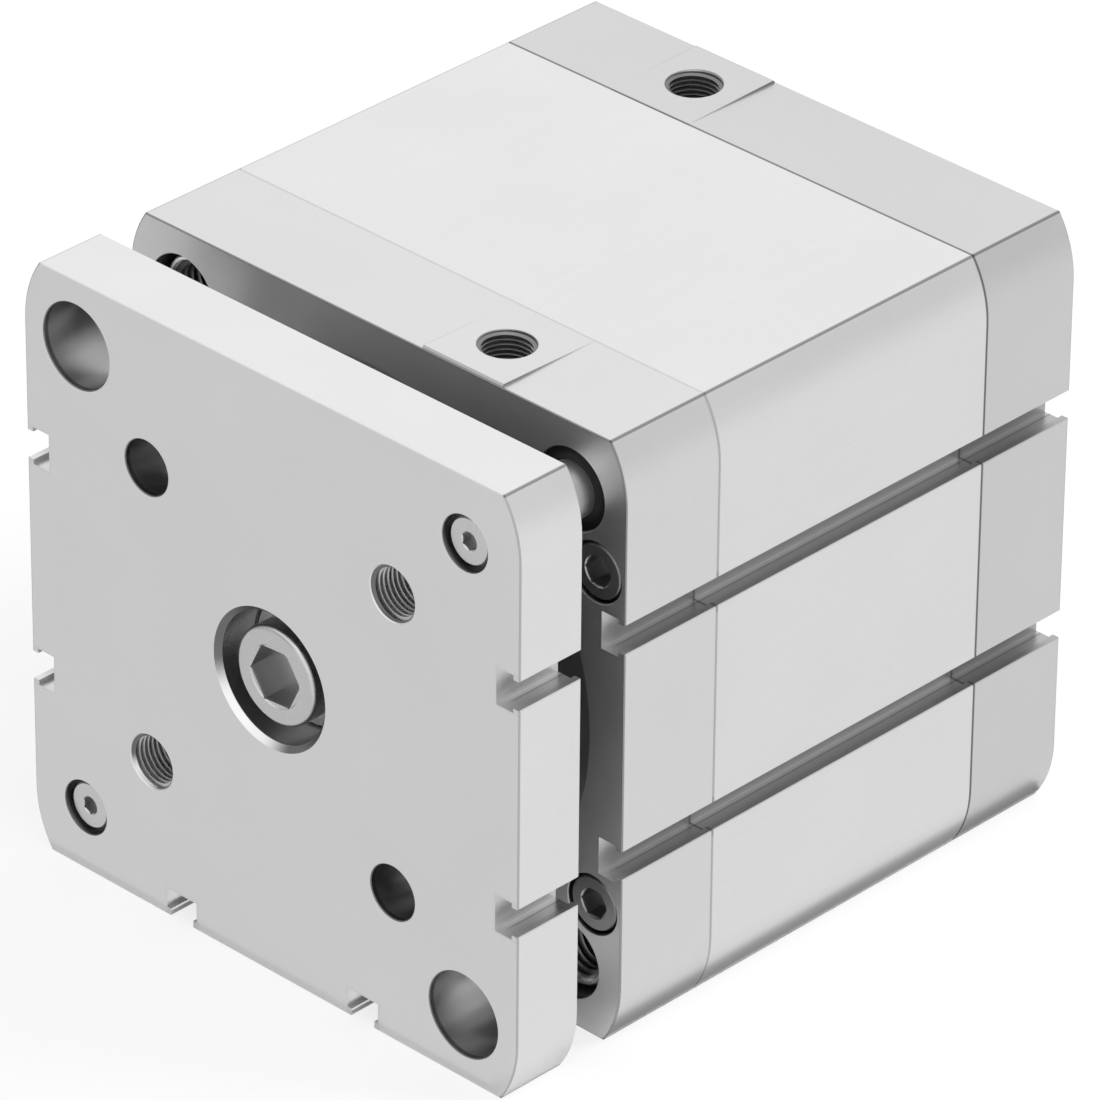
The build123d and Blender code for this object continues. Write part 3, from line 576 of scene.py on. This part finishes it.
class Winder(Bench):
    """A Geometry Nodes tree that winds a thread ridge on the wall of each hole that a point marks."""

    SIZES = ("Wall radius", "Ridge height", "Pitch", "Length", "Root width", "Crest width")
    STEPS_A_TURN = 40
    LOWEST_SHARE = 0.08

    def __init__(self):
        super().__init__(bpy.data.node_groups.new("wound_thread", "GeometryNodeTree"))
        self.names = {}
        self.ask("Holes", "Geometry")
        for size in self.SIZES:
            self.ask(size, "Float")
        self.ask("Turned to", "Vector")
        self.ask("Metal", "Material")
        self.tree.interface.new_socket("Thread", in_out="OUTPUT", socket_type="NodeSocketGeometry")
        entry = self.tree.nodes.new("NodeGroupInput")
        self.given = {name: Value(self, entry.outputs[name]) for name in self.names}
        self.feed(self.tree.nodes.new("NodeGroupOutput").inputs[0], self.wound())

    def ask(self, name, kind):
        socket = self.tree.interface.new_socket(name, in_out="INPUT", socket_type="NodeSocket" + kind)
        self.names[name] = socket.identifier

    def taper(self, turns):
        # Full height but for a third of a turn at either end
        along = self.node("GeometryNodeSplineParameter", {}, {}, "Factor")
        return (along.least(1.0 - along) * turns * 3.0).least(1.0).most(self.LOWEST_SHARE)

    def section(self):
        # Trapezoid whose root lies on the wall and whose crest points at the hole's axis
        given = self.given
        widths = {"Bottom Width": given["Root width"], "Top Width": given["Crest width"],
                  "Height": given["Ridge height"], "Offset": 0.0}
        outline = self.node("GeometryNodeCurvePrimitiveQuadrilateral", {"mode": "TRAPEZOID"}, widths)
        lift = self.node("ShaderNodeCombineXYZ", {}, {"Y": given["Ridge height"] * 0.5})
        outline = self.node("GeometryNodeTransform", {}, {"Geometry": outline, "Translation": lift})
        inward = {"Geometry": outline, "Rotation": (0.0, 0.0, math.pi / 2)}
        return self.node("GeometryNodeTransform", {}, inward)

    def wound(self):
        given = self.given
        turns = given["Length"] / given["Pitch"]
        wall = given["Wall radius"]
        spiral = self.node("GeometryNodeCurveSpiral", {}, {
            "Resolution": self.STEPS_A_TURN, "Rotations": turns, "Start Radius": wall, "End Radius": wall,
            "Height": given["Length"], "Reverse": True})
        upright = self.node("GeometryNodeSetCurveNormal", {"mode": "Z_UP"}, {"Curve": spiral})
        ridge = self.node("GeometryNodeCurveToMesh", {}, {
            "Curve": upright, "Profile Curve": self.section(), "Scale": self.taper(turns), "Fill Caps": True})
        placed = self.node("GeometryNodeInstanceOnPoints", {}, {
            "Points": given["Holes"], "Instance": ridge, "Rotation": given["Turned to"]})
        real = self.node("GeometryNodeRealizeInstances", {}, {"Geometry": placed})
        return self.node("GeometryNodeSetMaterial", {}, {"Geometry": real, "Material": given["Metal"]})


WINDER = Winder()
SHARP = math.radians(30)


def cut_threads(name, holes, sizes, finish, body):
    """Winds a thread in every hole of a list and leaves them as one plain mesh on a body."""
    points = bpy.data.meshes.new(name + "_holes")
    points.from_pydata(holes, [], [])
    marks = bpy.data.objects.new(name + "_holes", points)
    bpy.context.scene.collection.objects.link(marks)
    winding = marks.modifiers.new("wound_thread", "NODES")
    winding.node_group = WINDER.tree
    for size, value in {**sizes, "Metal": finish.material}.items():
        winding[WINDER.names[size]] = value
    bpy.context.view_layer.update()
    made = marks.evaluated_get(bpy.context.evaluated_depsgraph_get())
    mesh = bpy.data.meshes.new_from_object(made)
    mesh.name = name
    bpy.data.objects.remove(marks)
    tidy = bmesh.new()
    tidy.from_mesh(mesh)
    bmesh.ops.recalc_face_normals(tidy, faces=tidy.faces)
    for face in tidy.faces:
        face.material_index = 0
    tidy.to_mesh(mesh)
    tidy.free()
    mesh.materials.clear()
    mesh.materials.append(finish.material)
    mesh.shade_smooth()
    mesh.set_sharp_from_angle(angle=SHARP)
    piece = bpy.data.objects.new(name, mesh)
    bpy.context.scene.collection.objects.link(piece)
    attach(piece, body)


def thread_sizes(wall, height, pitch, length, turned_to):
    return {"Wall radius": wall, "Ridge height": height, "Pitch": pitch, "Length": length,
            "Root width": pitch * 0.86, "Crest width": pitch * 0.2, "Turned to": turned_to}


TOWARDS_BACK = (-math.pi / 2, 0.0, 0.0)
TOWARDS_FRONT = (math.pi / 2, 0.0, 0.0)
DOWNWARDS = (math.pi, 0.0, 0.0)

M10_WALL = 5.01 * MM
M10_PITCH = 1.5 * MM
M10_RIDGE = 0.75 * MM
FINE_PITCH = 1.0 * MM
FINE_RIDGE = 0.6 * MM
PORT_WALL = 4.875 * MM
PORT_PITCH = 0.907 * MM
PORT_RIDGE = 0.58 * MM
PLATE_THREAD_L = 13.4 * MM
COLLAR_THREAD_L = 9.2 * MM
PORT_THREAD_L = 9.6 * MM

# How far under a face the threads begin, and the ports' highest turn
PLATE_THREAD_SET = 0.25 * MM
COLLAR_THREAD_SET = 0.5 * MM
PORT_THREAD_TOP = 113.45 * MM

BOTH = (-1, 1)
plate_start = plate_ends[0] + PLATE_THREAD_SET
front_collar_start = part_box("front_corner_screws")[0].y + COLLAR_THREAD_SET
rear_collar_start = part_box("rear_corner_screws")[1].y - COLLAR_THREAD_SET
plate_holes = [(side * FIXING, plate_start, AXIS_Z + side * FIXING) for side in BOTH]
front_collars = [(-side * CORNER, front_collar_start, AXIS_Z + side * CORNER) for side in BOTH]
rear_collars = [(x * CORNER, rear_collar_start, AXIS_Z + z * CORNER) for x in BOTH for z in BOTH]
ports = {"front": (FRONT_PORT, FRONT_CAP), "rear": (REAR_PORT, REAR_CAP)}

plate_sizes = thread_sizes(M10_WALL, FINE_RIDGE, FINE_PITCH, PLATE_THREAD_L, TOWARDS_BACK)
front_sizes = thread_sizes(M10_WALL, M10_RIDGE, M10_PITCH, COLLAR_THREAD_L, TOWARDS_BACK)
rear_sizes = thread_sizes(M10_WALL, M10_RIDGE, M10_PITCH, COLLAR_THREAD_L, TOWARDS_FRONT)
port_sizes = thread_sizes(PORT_WALL, PORT_RIDGE, PORT_PITCH, PORT_THREAD_L, DOWNWARDS)
cut_threads("plate_threads", plate_holes, plate_sizes, THREAD, "moving_group")
cut_threads("front_collar_threads", front_collars, front_sizes, CORNER_STEEL, "housing")
cut_threads("rear_collar_threads", rear_collars, rear_sizes, REAR_STEEL, "housing")
for end, (port, finish) in ports.items():
    top = [(*port, PORT_THREAD_TOP)]
    cut_threads(end + "_port_thread", top, port_sizes, finish, "housing")


# Studio

FLOOR_REACH = 12.0
CARD_LIFT = 1.0 * MM
CENTRE = (0.0, 0.0, 0.057)


def flat_sheet(name, across, along):
    # A flat mesh in a new object, from its middle to these distances either way
    mesh = bpy.data.meshes.new(name)
    corners = [(-across, -along, 0), (across, -along, 0), (across, along, 0), (-across, along, 0)]
    mesh.from_pydata(corners, [], [(0, 1, 2, 3)])
    sheet = bpy.data.objects.new(name, mesh)
    bpy.context.scene.collection.objects.link(sheet)
    return sheet


def turned_at(place, target):
    return (Vector(target) - Vector(place)).to_track_quat("-Z", "Y").to_euler()


def pale_floor():
    floor = flat_sheet("floor", FLOOR_REACH, FLOOR_REACH)
    finish = Finish("pale_floor", Roughness=0.85)
    cloud = finish.noise(0.4, detail=3.0)
    seen = finish.node("ShaderNodeLightPath", {}, {}, "Is Camera Ray")
    finish.set(Base_Color=finish.grey(0.74 + cloud.swing(0.02) + seen * 0.2), Specular_IOR_Level=0.2)
    white = finish.node("ShaderNodeEmission", {}, {"Color": WHITE, "Strength": 1.0})
    shaded = Value(finish, finish.shader.outputs[0])
    mixed = finish.node("ShaderNodeMixShader", {}, {0: seen * 0.75, 1: shaded, 2: white})
    finish.feed(finish.output.inputs["Surface"], mixed)
    floor.data.materials.append(finish.material)


def soft_world(ambient):
    """White where the camera and reflections look, and dimmer as a light on dull surfaces."""
    world = bpy.data.worlds.new("studio")
    world.use_nodes = True
    sky = Bench(world.node_tree)
    background = next(node for node in sky.tree.nodes if node.type == "BACKGROUND")
    seen = sky.node("ShaderNodeLightPath", {}, {}, "Is Camera Ray")
    for ray in ("Is Glossy Ray", "Is Transmission Ray"):
        seen = seen.most(sky.node("ShaderNodeLightPath", {}, {}, ray))
    level = sky.node("ShaderNodeMapRange", {}, {"Value": seen, "To Min": ambient, "To Max": 1.0})
    sky.feed(background.inputs["Color"], WHITE)
    sky.feed(background.inputs["Strength"], level)
    bpy.context.scene.world = world


def softbox(name, place, target, width, height, brightness):
    lamp = bpy.data.lights.new(name, "AREA")
    lamp.shape = "RECTANGLE"
    lamp.size = width
    lamp.size_y = height
    lamp.energy = brightness * math.pi * width * height
    box = bpy.data.objects.new(name, lamp)
    bpy.context.scene.collection.objects.link(box)
    box.location = place
    box.rotation_euler = turned_at(place, target)
    return box


def grey_card(name, place, target, width, height, tone):
    """A card that only reflections see, to shade bright metal."""
    card = flat_sheet(name, width / 2, height / 2)
    card.location = place
    card.rotation_euler = turned_at(place, target)
    finish = Finish(name)
    glow = finish.node("ShaderNodeEmission", {}, {"Color": WHITE, "Strength": tone})
    finish.feed(finish.output.inputs["Surface"], glow)
    card.data.materials.append(finish.material)
    for ray in ("camera", "diffuse", "transmission", "volume_scatter", "shadow"):
        setattr(card, "visible_" + ray, False)


def floor_card(name, across, along, tone):
    """A grey card on the floor between two X and two Y places."""
    middle = ((across[0] + across[1]) / 2, (along[0] + along[1]) / 2, CARD_LIFT)
    above = (middle[0], middle[1], 1.0)
    grey_card(name, middle, above, across[1] - across[0], along[1] - along[0], tone)


pale_floor()
soft_world(ambient=0.75)
softbox("top_softbox", (0.7, -0.5, 2.0), CENTRE, width=1.2, height=1.2, brightness=1.5)
key = softbox("back_right_softbox", (1.0, 0.9, 1.5), CENTRE, width=0.7, height=0.7, brightness=12.0)
key.visible_glossy = False
grey_card("front_left_card", (-0.45, -0.5, 0.22), CENTRE, width=1.0, height=0.42, tone=0.55)
grey_card("back_right_card", (1.1, 1.0, 0.55), CENTRE, width=2.0, height=1.3, tone=0.68)

# Cards on the floor shade the plate's front, the right side, the right side's foot and the bottom slots
BESIDE = 0.0572
BEFORE = -0.0662
FOOT = 0.03
floor_card("front_floor_card", (-0.7, 0.05), (-0.6, BEFORE), tone=0.7)
floor_card("right_floor_card", (BESIDE, 0.9), (-0.3, 0.9), tone=0.86)
floor_card("foot_card", (FOOT, BESIDE), body_ends, tone=0.3)
floor_card("under_plate_card", (-FOOT, FOOT), plate_ends, tone=0.9)
floor_card("under_body_card", (-FOOT, FOOT), body_ends, tone=0.9)
aim_camera()

bpy.context.scene.view_settings.view_transform = "Standard"
